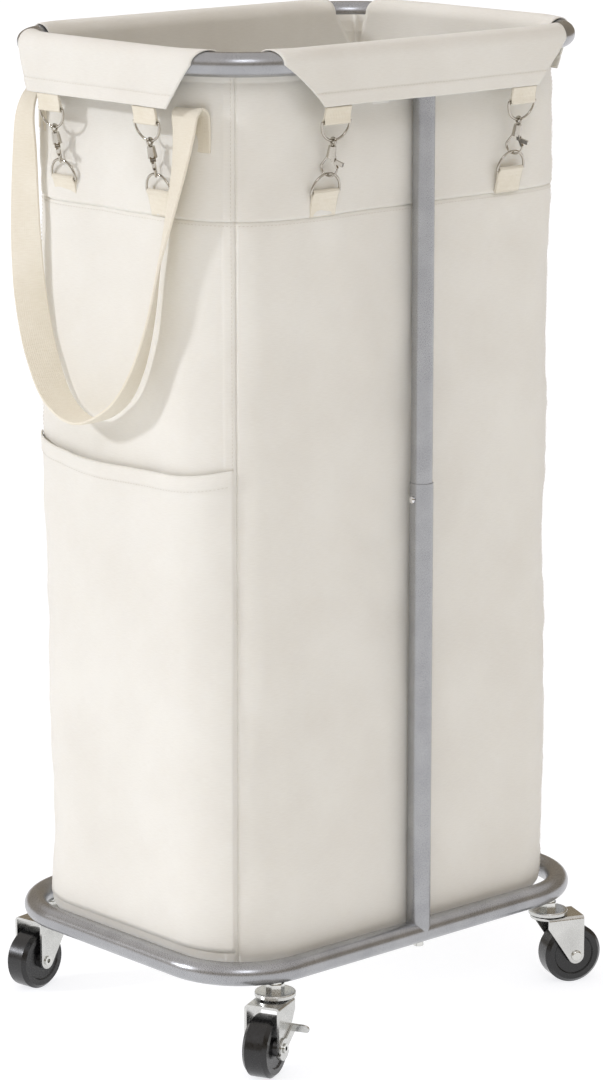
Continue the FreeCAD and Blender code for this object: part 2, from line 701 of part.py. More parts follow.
# ---------------------------------------------------------------- clip sets
# Each is drawn hanging down -Z from the flap's hem at the origin, width along Y, outward along +X.
arc_low = upper_bar + ring_leg + ring_bend_radius
eye_centre = arc_low + (eye_radius - eye_wire) - ring_wire - link_play
block_top = eye_centre + eye_radius + eye_wire + eye_block_gap
block_low = block_top + swivel_block_length
bow_centre = block_low + hook_reach
lower_arc = bow_centre + hook_bow_radius - hook_bar / 2 - ring_wire - link_play
lower_bar = lower_arc + ring_bend_radius + ring_leg
hem_x = ring_half_x + (fold_inner + fold_outer) / 2
seam_x = bag_half_x + tab_thickness / 2 + tab_wall_gap
clip_drop = flap_bottom - seam_height
clip_tilt = math.degrees(math.atan2(hem_x - seam_x, clip_drop))
clip_length = math.hypot(hem_x - seam_x, clip_drop)


def d_ring(bar, way):
    """Wire D ring with its straight bar at a distance down the set; way is 1 down, -1 up."""
    bend = Vector(0, 0, -(bar + way * ring_leg))
    arc = Part.makeTorus(ring_bend_radius, ring_wire, bend, X)
    arc = arc.common(box(-overlong, overlong, -overlong, overlong,
                         *sorted((bend.z, bend.z - way * overlong))))
    pieces = []
    for sy in (-1, 1):
        corner = Vector(0, sy * ring_bend_radius, -bar)
        pieces.append(cylinder(ring_wire, corner, Vector(0, corner.y, bend.z)))
        pieces.append(Part.makeSphere(ring_wire, corner))
    straight = cylinder(ring_wire, Vector(0, -ring_bend_radius, -bar), Vector(0, ring_bend_radius, -bar))
    return arc.fuse(pieces + [straight]).removeSplitter()


def web_tab(bar, end):
    """Webbing looped round a ring's bar, both layers sewn together towards its end."""
    half = tape_width / 2
    outer = ring_wire + bar_gap + tab_thickness / 2
    loop = cylinder(outer, Vector(0, -half, -bar), Vector(0, half, -bar))
    flat = box(-tab_thickness / 2, tab_thickness / 2, -half, half, *sorted((-bar, -end)))
    tab = loop.fuse(flat)
    return tab.cut(cylinder(ring_wire + bar_gap, Vector(0, -half, -bar), Vector(0, half, -bar)))


def hook_swivel():
    """Eye on the upper ring with a headed pin down into the hook's block."""
    eye = Part.makeTorus(eye_radius, eye_wire, Vector(0, 0, -eye_centre), Y)
    head_low, head_high = -block_low + swivel_head_low, -block_low + swivel_head_high
    pin = cylinder(swivel_pin_radius, Vector(0, 0, -eye_centre - eye_radius),
                   Vector(0, 0, (head_low + head_high) / 2))
    head = cylinder(swivel_pin_radius + swivel_head_rim, Vector(0, 0, head_high), Vector(0, 0, head_low))
    return eye.fuse([pin, head])


def claw_bar(start, end, width, thickness):
    """Flat bar in the hook's plane between two (across, down) points."""
    a, b = Vector(start[0], 0, -start[1]), Vector(end[0], 0, -end[1])
    side = (b - a).cross(Y).normalize() * (width / 2)
    return prism([p - Y * (thickness / 2) for p in (a + side, b + side, b - side, a - side)], Y * thickness)


lever_eye = hook_bar * lever_eye_share
pivot_across, pivot_down = lever_across, block_low + lever_block_gap + lever_eye


def hook_body():
    """Swivel block with a hook that runs down one side, round the bow and up to its nose."""
    block = Part.makeCone(swivel_block_top, swivel_block_bottom, swivel_block_length,
                          Vector(0, 0, -block_top), Z * -1)
    bore = swivel_pin_radius + swivel_pin_clearance
    low, high = swivel_head_low - swivel_head_play, swivel_head_high + swivel_head_play
    block = block.cut(cylinder(bore, Vector(0, 0, -block_top + overlong), Vector(0, 0, -block_low + low)))
    head = swivel_pin_radius + swivel_head_rim + swivel_pin_clearance
    block = block.cut(cylinder(head, Vector(0, 0, -block_low + high), Vector(0, 0, -block_low + low)))
    bow = Part.makeTorus(hook_bow_radius, hook_bar / 2, Vector(0, 0, -bow_centre), Y)
    bow = bow.common(box(-overlong, overlong, -overlong, overlong, -bow_centre - overlong, -bow_centre))
    side = cylinder(hook_bar / 2, Vector(-hook_bow_radius, 0, -bow_centre),
                    Vector(-swivel_block_bottom + hook_root_inset, 0, -block_low + hook_root_rise))
    joint = Part.makeSphere(hook_bar / 2, Vector(-hook_bow_radius, 0, -bow_centre))
    ear = claw_bar((swivel_block_bottom - ear_inset, block_low - ear_rise),
                   (pivot_across + ear_past_across, pivot_down + ear_past_down),
                   ear_width, hook_thickness + 2 * ear_wall)
    half_slot, half_pin = hook_thickness / 2 + lever_side_gap, hook_thickness / 2 + ear_wall
    slot = box(pivot_across - slot_near, pivot_across + slot_far, -half_slot, half_slot,
               -pivot_down - slot_drop, -block_low)
    pin = cylinder(lever_pivot_radius, Vector(pivot_across, -half_pin, -pivot_down),
                   Vector(pivot_across, half_pin, -pivot_down))
    return block.fuse([bow, side, joint, ear.cut(slot), pin]).removeSplitter()


def hook_lever():
    """Gate of the hook with its thumb tab, on a pin between the block's ears."""
    tip = (hook_bow_radius - nose_inset, bow_centre - nose_gap)
    pivot = (pivot_across, pivot_down)
    gate = claw_bar(pivot, tip, hook_bar, hook_thickness)
    eye = cylinder(lever_eye, Vector(pivot_across, -hook_thickness / 2, -pivot_down),
                   Vector(pivot_across, hook_thickness / 2, -pivot_down))
    root = (pivot_across + lever_tab_root[0], pivot_down + lever_tab_root[1])
    end = (root[0] + lever_tab, root[1] + lever_tab_fall)
    tab = claw_bar(root, end, lever_tab_width, hook_thickness)
    lever = gate.fuse([eye, tab])
    hole = lever_pivot_radius + lever_pivot_clearance
    lever = lever.cut(cylinder(hole, Vector(pivot_across, -overlong, -pivot_down),
                               Vector(pivot_across, overlong, -pivot_down)))
    return lever.removeSplitter()


def clip_places():
    """Name, placement and hook twist of each clip set."""
    places = []
    for side, turn, offset, twist in (("right", 0, clip_side_offset, side_hook_twist),
                                      ("back", 90, clip_end_offset, end_hook_twist),
                                      ("left", 180, clip_side_offset, side_hook_twist),
                                      ("front", 270, clip_end_offset, end_hook_twist)):
        reach = hem_x if turn % 180 == 0 else hem_x - ring_half_x + ring_half_y
        for number, along in ((1, -offset), (2, offset)):
            lean = Placement(Vector(reach, along, flap_bottom), Rotation(Y, clip_tilt))
            place = Placement(ORIGIN, Rotation(Z, turn)).multiply(lean)
            places.append((f"{side}_{number}", place, Placement(ORIGIN, Rotation(Z, twist))))
    return places


# ---------------------------------------------------------------- write every node
def main():
    save("base_ring", base_ring())
    save("rim_ring", rim_ring())
    save("crossbars", crossbars())
    for name, sx in (("left", -1), ("right", 1)):
        save(f"lower_post_{name}", lower_post(sx))
        save(f"upper_post_{name}", upper_post(sx))
        save(f"snap_button_{name}", snap_button(sx))
        save(f"snap_spring_{name}", snap_spring(sx))
    save("post_plugs", post_plugs())
    save("post_screws", post_screws())

    places = [place_caster(caster) for caster in CASTERS]
    save("caster_stems", [placed(caster_stem(), place) for place in places])
    save("stem_inserts", [placed(stem_insert(), place) for place in places])
    save("caster_races", [placed(caster_race(), place) for place in places])
    save("swivel_balls", [placed(ball, place) for place in places for ball in swivel_balls()])
    for caster, place in zip(CASTERS, places):
        save(f"fork_{caster['name']}", placed(fork(), place))
        save(f"axle_{caster['name']}", placed(axle(caster["brake"]), place))
        save(f"wheel_{caster['name']}", placed(wheel(), place))
        if caster["brake"]:
            save(f"brake_lever_{caster['name']}", placed(brake_lever(), place))

    band = fold_band()
    for side in ("front", "back", "left", "right"):
        save(f"bag_{side}", bag_panel(side))
        save(f"flap_{side}", flap(side, band))
    save("bag_floor", bag_floor())
    save("base_board", base_board())
    save("pocket", pocket())
    save("handle", handle())

    clips = clip_places()
    save("upper_tabs", [placed(web_tab(upper_bar, tab_hem_gap), place) for _, place, _ in clips])
    save("upper_rings", [placed(d_ring(upper_bar, 1), place) for _, place, _ in clips])
    save("lower_rings", [placed(d_ring(lower_bar, -1), place) for _, place, _ in clips])
    save("lower_tabs", [placed(web_tab(lower_bar, clip_length), place) for _, place, _ in clips])
    save("hook_swivels", [placed(hook_swivel(), place) for _, place, _ in clips])
    save("hook_bodies", [placed(hook_body(), place.multiply(twist)) for _, place, twist in clips])
    for name, place, twist in clips:
        save(f"hook_lever_{name}", placed(hook_lever(), place.multiply(twist)))


main()
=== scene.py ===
"""Looks of the laundry sorter on wheels: canvas bag, webbing, powder-coated tube and zinc casters."""

import json
import math

import bmesh
import bpy
from mathutils import Matrix, Vector, noise

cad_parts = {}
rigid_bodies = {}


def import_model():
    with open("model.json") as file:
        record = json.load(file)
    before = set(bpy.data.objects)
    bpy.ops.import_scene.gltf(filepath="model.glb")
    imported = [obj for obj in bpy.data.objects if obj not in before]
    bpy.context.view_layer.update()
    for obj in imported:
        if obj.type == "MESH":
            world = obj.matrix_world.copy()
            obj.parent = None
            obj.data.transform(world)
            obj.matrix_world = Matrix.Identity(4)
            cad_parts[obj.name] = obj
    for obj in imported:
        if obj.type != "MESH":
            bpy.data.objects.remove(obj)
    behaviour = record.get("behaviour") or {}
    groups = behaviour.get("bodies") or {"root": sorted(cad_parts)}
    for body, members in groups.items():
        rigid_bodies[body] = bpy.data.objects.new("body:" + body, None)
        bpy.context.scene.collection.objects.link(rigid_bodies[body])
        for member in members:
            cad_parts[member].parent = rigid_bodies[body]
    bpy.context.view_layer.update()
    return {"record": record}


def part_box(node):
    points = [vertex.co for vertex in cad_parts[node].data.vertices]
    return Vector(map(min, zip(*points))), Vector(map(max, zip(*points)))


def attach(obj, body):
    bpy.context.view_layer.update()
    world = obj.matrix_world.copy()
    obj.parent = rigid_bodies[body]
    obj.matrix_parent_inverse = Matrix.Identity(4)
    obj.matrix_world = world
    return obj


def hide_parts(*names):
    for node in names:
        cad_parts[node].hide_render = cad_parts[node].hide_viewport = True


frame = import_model()
RIDES = "frame_and_bag"                     # every soft piece moves with the frame

# ------------------------------------------------------------------ sizes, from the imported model
rim_low, rim_high = (Vector(v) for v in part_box("rim_ring"))
TUBE = (rim_high.z - rim_low.z) / 2         # tube radius
RIM_Z = rim_high.z - TUBE
RING_X, RING_Y = rim_high.x - TUBE, rim_high.y - TUBE
RING_CORNER = 0.078                         # corner radius of the rim's centreline
BAG_X, BAG_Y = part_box("bag_right")[1][0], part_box("bag_back")[1][1]
BAG_CORNER = 0.068
BAG_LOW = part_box("bag_right")[0][2]
HEM_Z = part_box("flap_right")[0][2]
SEAM_Z = 0.676                              # cross seam that the lower tabs are sewn into
WALL_TOP = RIM_Z - 0.001
CLOTH = 0.0011                              # canvas thickness
POCKET_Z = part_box("pocket")[1][2]
POCKET_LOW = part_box("pocket")[0][2]


# ------------------------------------------------------------------ materials
def colour(hex_value):
    """sRGB hex to the linear RGBA that a shader socket takes."""
    parts = [int(hex_value[i:i + 2], 16) / 255 for i in (0, 2, 4)]
    return tuple(c / 12.92 if c <= 0.04045 else ((c + 0.055) / 1.055) ** 2.4 for c in parts) + (1.0,)


def add(tree, kind, settings=None, links=None):
    """Add a node: settings are its own properties, links its sockets' values or sources."""
    made = tree.nodes.new(kind)
    for key, value in (settings or {}).items():
        setattr(made, key, value)
    for key, value in (links or {}).items():
        if isinstance(value, bpy.types.NodeSocket):
            tree.links.new(value, made.inputs[key])
        else:
            made.inputs[key].default_value = value
    return made


def material(name, shader):
    """Material with one Principled shader; returns it, its tree and the shader."""
    made = bpy.data.materials.new(name)
    made.use_nodes = True
    tree = made.node_tree
    tree.nodes.clear()
    body = add(tree, "ShaderNodeBsdfPrincipled", links=shader)
    add(tree, "ShaderNodeOutputMaterial", links={"Surface": body.outputs[0]})
    return made, tree, body


def tint(tree, factor, low, high, low_at=0.3, high_at=0.7):
    """Colour ramp between two hex colours."""
    ramp = add(tree, "ShaderNodeValToRGB", links={"Fac": factor})
    ramp.color_ramp.elements[0].position, ramp.color_ramp.elements[1].position = low_at, high_at
    ramp.color_ramp.elements[0].color, ramp.color_ramp.elements[1].color = colour(low), colour(high)
    return ramp.outputs["Color"]


def woven(name, light, dark, thread_mm, ribs=0.0, lift=0.00012, glow=0.0):
    """Plain-woven cotton: crossing threads on the piece's own UVs, slubs and a faint cloudiness."""
    made, tree, body = material(name, {"Roughness": 0.92, "Sheen Weight": 0.18, "Sheen Roughness": 0.5,
                                       "Specular IOR Level": 0.25, "Subsurface Weight": glow,
                                       "Subsurface Scale": 0.001,
                                       "Subsurface Radius": (1.0, 0.95, 0.85)})
    flat = add(tree, "ShaderNodeTexCoord").outputs["UV"]
    solid = add(tree, "ShaderNodeTexCoord").outputs["Object"]
    per_metre = 2 * math.pi / 20 / (thread_mm * 0.001)        # a wave band's scale for this pitch
    waves = [add(tree, "ShaderNodeTexWave", {"bands_direction": way},
                 {"Vector": flat, "Scale": per_metre, "Distortion": 0.6, "Detail": 1.0,
                  "Detail Scale": 0.4}).outputs["Fac"] for way in ("X", "Y")]
    weave = add(tree, "ShaderNodeMath", {"operation": "MULTIPLY"},
                {0: waves[0], 1: waves[1]}).outputs[0]
    stretch = add(tree, "ShaderNodeMapping", links={"Vector": flat, "Scale": (160.0, 1500.0, 1.0)})
    slubs = add(tree, "ShaderNodeTexNoise", {"noise_dimensions": "2D"},
                {"Vector": stretch.outputs[0], "Scale": 1.0, "Detail": 2.0}).outputs["Fac"]
    clouds = add(tree, "ShaderNodeTexNoise", links={"Vector": solid, "Scale": 14.0, "Detail": 3.0,
                                                    "Roughness": 0.55}).outputs["Fac"]
    mixed = add(tree, "ShaderNodeMath", {"operation": "MULTIPLY_ADD"},
                {0: slubs, 1: 0.5, 2: clouds}).outputs[0]
    tree.links.new(tint(tree, mixed, dark, light, 0.45, 0.95), body.inputs["Base Color"])
    height = add(tree, "ShaderNodeMath", {"operation": "MULTIPLY_ADD"},
                 {0: slubs, 1: 0.4, 2: weave}).outputs[0]
    if ribs:
        rib = add(tree, "ShaderNodeTexWave", {"bands_direction": "X"},
                  {"Vector": flat, "Scale": 2 * math.pi / 20 / (ribs * 0.001)}).outputs["Fac"]
        height = add(tree, "ShaderNodeMath", {"operation": "ADD"}, {0: height, 1: rib}).outputs[0]
    bump = add(tree, "ShaderNodeBump", links={"Height": height, "Strength": 0.55, "Distance": lift})
    tree.links.new(bump.outputs[0], body.inputs["Normal"])
    return made


def metal(name, light, dark, roughness, metallic=1.0, grain_mm=1.2, bump=0.00002, stretch=(1, 1, 1),
          coat=0.0):
    """Metal finish with a fine grain that varies its colour, roughness and surface."""
    made, tree, body = material(name, {"Metallic": metallic, "Coat Weight": coat,
                                       "Coat Roughness": 0.25})
    solid = add(tree, "ShaderNodeTexCoord").outputs["Object"]
    way = add(tree, "ShaderNodeMapping", links={"Vector": solid, "Scale": stretch}).outputs[0]
    grain = add(tree, "ShaderNodeTexNoise", links={"Vector": way, "Scale": 1000.0 / grain_mm,
                                                   "Detail": 3.0,
                                                   "Roughness": 0.6}).outputs["Fac"]
    broad = add(tree, "ShaderNodeTexNoise",
                links={"Vector": solid, "Scale": 45.0, "Detail": 2.0}).outputs["Fac"]
    both = add(tree, "ShaderNodeMath", {"operation": "MULTIPLY_ADD"},
               {0: grain, 1: 0.5, 2: broad}).outputs[0]
    tree.links.new(tint(tree, both, dark, light, 0.4, 1.0), body.inputs["Base Color"])
    rough = add(tree, "ShaderNodeMapRange", links={"Value": grain, "From Min": 0.3, "From Max": 0.7,
                                                   "To Min": roughness * 0.85, "To Max": roughness * 1.15})
    tree.links.new(rough.outputs[0], body.inputs["Roughness"])
    lift = add(tree, "ShaderNodeBump", links={"Height": grain, "Strength": 0.5, "Distance": bump})
    tree.links.new(lift.outputs[0], body.inputs["Normal"])
    return made


def plastic(name, light, dark, roughness, coat=0.0, grain_mm=2.0):
    """Moulded plastic with a fine grain that varies its colour, roughness and surface."""
    made, tree, body = material(name, {"IOR": 1.49, "Coat Weight": coat, "Coat Roughness": 0.12})
    solid = add(tree, "ShaderNodeTexCoord").outputs["Object"]
    grain = add(tree, "ShaderNodeTexNoise", links={"Vector": solid, "Scale": 1000.0 / grain_mm,
                                                   "Detail": 4.0}).outputs["Fac"]
    tree.links.new(tint(tree, grain, dark, light), body.inputs["Base Color"])
    rough = add(tree, "ShaderNodeMapRange", links={"Value": grain, "From Min": 0.3, "From Max": 0.7,
                                                   "To Min": roughness * 0.8, "To Max": roughness * 1.2})
    tree.links.new(rough.outputs[0], body.inputs["Roughness"])
    lift = add(tree, "ShaderNodeBump", links={"Height": grain, "Strength": 0.3, "Distance": 0.00003})
    tree.links.new(lift.outputs[0], body.inputs["Normal"])
    return made


# Cotton canvas, 0.55 mm threads: matt off-white with slubs, thin enough to let some light through
CANVAS = woven("cotton_canvas", "ECEAE3", "E5E2DA", 0.55, glow=0.3)
# Cotton tape, 1.6 mm ribs: creamier and rougher to the eye than the canvas
WEBBING = woven("cotton_tape", "EEE8D9", "E4DCC9", 0.8, ribs=1.6, lift=0.00022)
# Spun polyester sewing thread
THREAD = woven("sewing_thread", "DEDAD0", "CFCABD", 0.3)
# Satin silver powder coat on steel: soft broad highlight with a very fine sparkle
TUBE_COAT = metal("satin_powder_coat", "ACADAF", "999A9D", 0.28, metallic=0.8, grain_mm=0.35)
# Bright zinc plating on stamped steel: pale, slightly streaky
ZINC = metal("zinc_plated_steel", "D6D6D3", "BDBDBA", 0.26, grain_mm=1.5)
# Turned and zinc plated fasteners: brighter and smoother than the stampings
FASTENER = metal("zinc_plated_fastener", "DEDEDA", "C4C4C0", 0.18, grain_mm=1.0)
# Nickel-plated wire and castings: warm grey mirror with dark reflections
NICKEL = metal("nickel_plating", "C9C4BA", "9F998F", 0.14, grain_mm=1.0)
# Chrome-plated button
CHROME = metal("chrome_plating", "E6E6E6", "CFCFD1", 0.08, grain_mm=2.0)
# Hardened spring steel and bearing balls
SPRING = metal("spring_steel", "A9A9AC", "8E8E92", 0.3, grain_mm=1.0)
# Hard black moulded wheel: deep black with a soft gloss
WHEEL = plastic("moulded_black_wheel", "161617", "0D0D0E", 0.30, coat=0.25)
# Black nylon plugs inside the posts
NYLON = plastic("black_nylon", "1B1B1C", "121213", 0.5)


def fibreboard():
    """Grey-brown board with fine fibres."""
    made, tree, body = material("fibreboard", {"Roughness": 0.85, "IOR": 1.45})
    solid = add(tree, "ShaderNodeTexCoord").outputs["Object"]
    way = add(tree, "ShaderNodeMapping", links={"Vector": solid, "Scale": (1.0, 6.0, 1.0)}).outputs[0]
    fibres = add(tree, "ShaderNodeTexNoise", links={"Vector": way, "Scale": 220.0, "Detail": 6.0,
                                                    "Roughness": 0.7}).outputs["Fac"]
    tree.links.new(tint(tree, fibres, "8F8068", "B3A388"), body.inputs["Base Color"])
    lift = add(tree, "ShaderNodeBump", links={"Height": fibres, "Strength": 0.4, "Distance": 0.0001})
    tree.links.new(lift.outputs[0], body.inputs["Normal"])
    return made


FINISHES = {"frame_tube": TUBE_COAT, "zinc_plate": ZINC, "zinc_fastener": FASTENER, "wheel": WHEEL,
            "bag_fabric": CANVAS, "webbing": WEBBING, "board": fibreboard(), "nickel": NICKEL,
            "spring_steel": SPRING, "chrome": CHROME, "plug_plastic": NYLON}
for part in frame["record"]["subparts"]:
    node_object = bpy.data.objects[part["node"]]
    for place in node_object.material_slots:
        place.material = FINISHES[part["material_slot"]]


# ------------------------------------------------------------------ cloth pieces
def finish_piece(name, bm, finish, thickness=None, replaced=()):
    """Turn a bmesh into a named piece with its material, wall thickness and ride."""
    mesh = bpy.data.meshes.new(name)
    bm.to_mesh(mesh)
    bm.free()
    mesh.polygons.foreach_set("use_smooth", [True] * len(mesh.polygons))
    piece = bpy.data.objects.new(name, mesh)
    bpy.context.scene.collection.objects.link(piece)
    mesh.materials.append(finish)
    if thickness:
        wall = piece.modifiers.new("wall", "SOLIDIFY")
        wall.thickness = thickness
        wall.offset = 0.0
    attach(piece, RIDES)
    if replaced:
        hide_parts(*replaced)
    return piece


def cloth_grid(columns, rows, place, flat=None, closed=False, turn=False):
    """Grid of cloth bent by place(a, b); its UVs are flat(a, b) in metres."""
    bm = bmesh.new()
    bmesh.ops.create_grid(bm, x_segments=len(columns) - 1, y_segments=len(rows) - 1, size=1.0)
    uv = bm.loops.layers.uv.new("weave")
    across, along = len(columns) - 1, len(rows) - 1
    spots = {v: (columns[round((v.co.x + 1) / 2 * across)], rows[round((v.co.y + 1) / 2 * along)])
             for v in bm.verts}
    for face in bm.faces:
        for loop in face.loops:
            spot = spots[loop.vert]
            loop[uv].uv = flat(*spot) if flat else spot
    for vert, spot in spots.items():
        vert.co = place(*spot)
    if closed:
        bmesh.ops.remove_doubles(bm, verts=bm.verts, dist=1e-6)
    if turn:
        bmesh.ops.reverse_faces(bm, faces=bm.faces)
    return bm


def spread(start, end, count, at=(), near=0.004, dense=0.0009):
    """Even steps from start to end with finer ones round each place in at."""
    steps = {round(start + (end - start) * i / count, 6) for i in range(count + 1)}
    for middle in at:
        steps = {s for s in steps if abs(s - middle) > near or s in (round(start, 6), round(end, 6))}
        half = int(near / dense)
        steps |= {round(middle + dense * i, 6) for i in range(-half, half + 1)}
    return sorted(steps)


def smooth(low, high, value):
    t = min(1.0, max(0.0, (value - low) / (high - low)))
    return t * t * (3 - 2 * t)


# Outline of the bag from above: straight and corner runs, counted from the middle of the -Y end
FLAT_X, FLAT_Y = BAG_X - BAG_CORNER, BAG_Y - BAG_CORNER
QUARTER = BAG_CORNER * math.pi / 2
RUNS = [("line", (0, -BAG_Y), (1, 0), FLAT_X), ("arc", (FLAT_X, -FLAT_Y), -90, QUARTER),
        ("line", (BAG_X, -FLAT_Y), (0, 1), 2 * FLAT_Y), ("arc", (FLAT_X, FLAT_Y), 0, QUARTER),
        ("line", (FLAT_X, BAG_Y), (-1, 0), 2 * FLAT_X), ("arc", (-FLAT_X, FLAT_Y), 90, QUARTER),
        ("line", (-BAG_X, FLAT_Y), (0, -1), 2 * FLAT_Y), ("arc", (-FLAT_X, -FLAT_Y), 180, QUARTER),
        ("line", (-FLAT_X, -BAG_Y), (1, 0), FLAT_X)]
LOOP = sum(run[3] for run in RUNS)
SEAM_1 = FLAT_X + QUARTER / 2
SEAM_2 = FLAT_X + QUARTER + 2 * FLAT_Y + QUARTER / 2
CORNER_SEAMS = (SEAM_1, SEAM_2, LOOP - SEAM_2, LOOP - SEAM_1)
STRIP_SIDE = (-1, 1, -1, 1)                  # the seam allowance lies on the end panels


def outline(s):
    """Point and outward direction on the bag's outer face, s metres round."""
    s %= LOOP
    for kind, origin, heading, length in RUNS:
        if s <= length:
            break
        s -= length
    if kind == "line":
        point = Vector((origin[0] + heading[0] * s, origin[1] + heading[1] * s, 0))
        return point, Vector((heading[1], -heading[0], 0))
    angle = math.radians(heading) + s / BAG_CORNER
    out = Vector((math.cos(angle), math.sin(angle), 0))
    return Vector((origin[0], origin[1], 0)) + out * BAG_CORNER, out


CLIP_X, CLIP_Y = 0.058, 0.100                # clip sets' places along the end and side flaps
TAB_SPOTS = [(sx * CLIP_X) % LOOP for sx in (-1, 1)]
SIDE_MIDDLE = FLAT_X + QUARTER + FLAT_Y
TAB_SPOTS += [(SIDE_MIDDLE + sy * CLIP_Y) for sy in (-1, 1)]
TAB_SPOTS += [(LOOP / 2 + sx * CLIP_X) for sx in (-1, 1)]
TAB_SPOTS += [(LOOP - SIDE_MIDDLE + sy * CLIP_Y) for sy in (-1, 1)]


def seam_offset(s):
    """Signed distance round the bag to the nearest corner seam, positive on its plain side."""
    best = min(range(4), key=lambda i: abs(s % LOOP - CORNER_SEAMS[i]))
    return (s % LOOP - CORNER_SEAMS[best]) * -STRIP_SIDE[best]


def hang(s, z):
    """How far the cloth stands out from its flat place, in metres."""
    point, out = outline(s)
    free = smooth(BAG_LOW + 0.004, BAG_LOW + 0.07, z) * smooth(WALL_TOP + 0.001, WALL_TOP - 0.07, z)
    broad = noise.noise(Vector((point.x * 8, point.y * 8, z * 3.2 + 4.0)))
    slant = noise.noise(Vector((point.x * 15 + z * 7, point.y * 15 - z * 7, z * 6)))
    fine = noise.noise(Vector((point.x * 38 - z * 20, point.y * 38 + z * 20, z * 24)))
    pleat = noise.noise(Vector((point.x * 26, point.y * 26, z * 1.6 + 9.0)))
    depth = free * (0.0042 * broad + 0.0028 * slant + 0.0011 * fine + 0.0016 * pleat - 0.0008)
    # pull of the lower tabs on the cross seam
    for spot in TAB_SPOTS:
        across = abs((s - spot + LOOP / 2) % LOOP - LOOP / 2)
        if across < 0.12:
            below = SEAM_Z - z
            near_seam = math.exp(-(below / 0.018) ** 2) * math.exp(-(across / 0.022) ** 2)
            depth += 0.0012 * near_seam
            if below > 0:
                ridge = math.exp(-((across - 0.30 * below - 0.010) / (0.010 + 0.12 * below)) ** 2)
                depth += 0.0016 * ridge * math.exp(-below / 0.12) * smooth(0.0, 0.02, below)
    # posts press the cloth back a little; the rings hold it flat
    beside_post = abs(point.y) if abs(out.x) > 0.99 else 1.0
    limit = 0.0001 + 0.006 * smooth(0.010, 0.060, beside_post)
    return min(depth, limit)


def relief(s, z):
    """Raised allowance strip, sunk seam lines and puckers, in metres."""
    d = seam_offset(s)
    strip = smooth(-0.0100, -0.0080, d) * smooth(0.0002, -0.0006, d)
    lift = 0.0004 * strip
    lift -= 0.0019 * math.exp(-((d - 0.0006) / 0.0010) ** 2)
    pucker = noise.noise(Vector((z * 110, d * 60, round(s, 1) * 3)))
    lift += 0.0009 * pucker * math.exp(-(d / 0.014) ** 2)
    below = SEAM_Z - z
    lift -= 0.0015 * math.exp(-((below - 0.0006) / 0.0010) ** 2)
    lift += 0.0009 * smooth(0.0006, -0.0008, below) * smooth(-0.10, -0.02, below)
    spot = outline(s)[0]
    ripple = noise.noise(Vector((spot.x * 90, spot.y * 90, z * 40)))
    lift += 0.0005 * ripple * math.exp(-(below / 0.010) ** 2)
    lift -= 0.0004 * math.exp(-((z - (WALL_TOP - 0.014)) / 0.0010) ** 2)
    return lift


def wall_point(s, z, proud=0.0, detail=True):
    point, out = outline(s)
    depth = hang(s, z) + (relief(s, z) if detail else 0.0) + proud - CLOTH / 2
    return point + out * depth + Vector((0, 0, z))


def bag_shell():
    """Walls in one loop, turned in at the bottom and closed by the floor."""
    turn_in = 0.006
    rows = spread(BAG_LOW + turn_in + CLOTH / 2, WALL_TOP, 112, (SEAM_Z,), 0.004, 0.0009)
    rows = sorted(rows + [WALL_TOP - 0.014 + k * 0.001 for k in (-1, 0, 1)])
    columns = spread(0, LOOP, 250, CORNER_SEAMS, 0.010, 0.0009)[:-1] + [LOOP]
    bm = cloth_grid(columns, rows, wall_point, closed=True)
    edge = [e for e in bm.edges if e.is_boundary and max(v.co.z for v in e.verts) < BAG_LOW + 0.02]
    centre = Vector((0, 0, 0))
    steps = [(turn_in * (1 - math.cos(a)), turn_in * (1 - math.sin(a)))
             for a in (math.pi / 2 * k / 4 for k in range(1, 5))] + [(0.03, 0.0), (0.07, 0.0),
                                                                     (0.11, 0.0)]
    start = {v: v.co.copy() for e in edge for v in e.verts}
    for inward, up in steps:
        grown = bmesh.ops.extrude_edge_only(bm, edges=edge)["geom"]
        fresh = [g for g in grown if isinstance(g, bmesh.types.BMVert)]
        edge = [g for g in grown if isinstance(g, bmesh.types.BMEdge) and g.is_boundary]
        moved = {}
        for v in fresh:
            old = min((o.other_vert(v) for o in v.link_edges if o.other_vert(v) in start),
                      key=lambda o: (o.co - v.co).length)
            first = start[old]
            flat = Vector((first.x, first.y, 0))
            side = Vector((max(-FLAT_X, min(FLAT_X, flat.x)), max(-FLAT_Y, min(FLAT_Y, flat.y)), 0))
            out = (flat - side).normalized()
            if inward > BAG_CORNER * 0.4:
                out = (flat - centre).normalized()
                v.co = flat * (1 - inward / 0.125)
            else:
                v.co = flat - out * inward
            v.co.z = BAG_LOW + CLOTH / 2 + up
            moved[v] = first
        start = moved
    bmesh.ops.contextual_create(bm, geom=edge)
    bmesh.ops.recalc_face_normals(bm, faces=bm.faces)
    return finish_piece("bag_shell", bm, CANVAS, CLOTH,
                        ("bag_front", "bag_back", "bag_left", "bag_right", "bag_floor"))


def pocket_depth(s, z):
    """How far the pocket's front stands off the wall."""
    half = SEAM_1 - 0.002
    side = 1 - (abs(s) / half) ** 4
    up = smooth(POCKET_LOW, POCKET_Z - 0.05, z)
    slack = 0.5 + 0.5 * noise.noise(Vector((s * 9, z * 6, 11.0)))
    rise = smooth(POCKET_LOW, POCKET_LOW + 0.03, z)
    return 0.0016 + (0.0030 * up + 0.0009 * slack) * max(0.0, side) * rise


def pocket_top(s):
    """Height of the pocket's top edge: lowest in the middle."""
    half = SEAM_1
    return POCKET_Z - 0.009 * (1 - (s / half) ** 2) + 0.0008 * math.sin(s * 60)


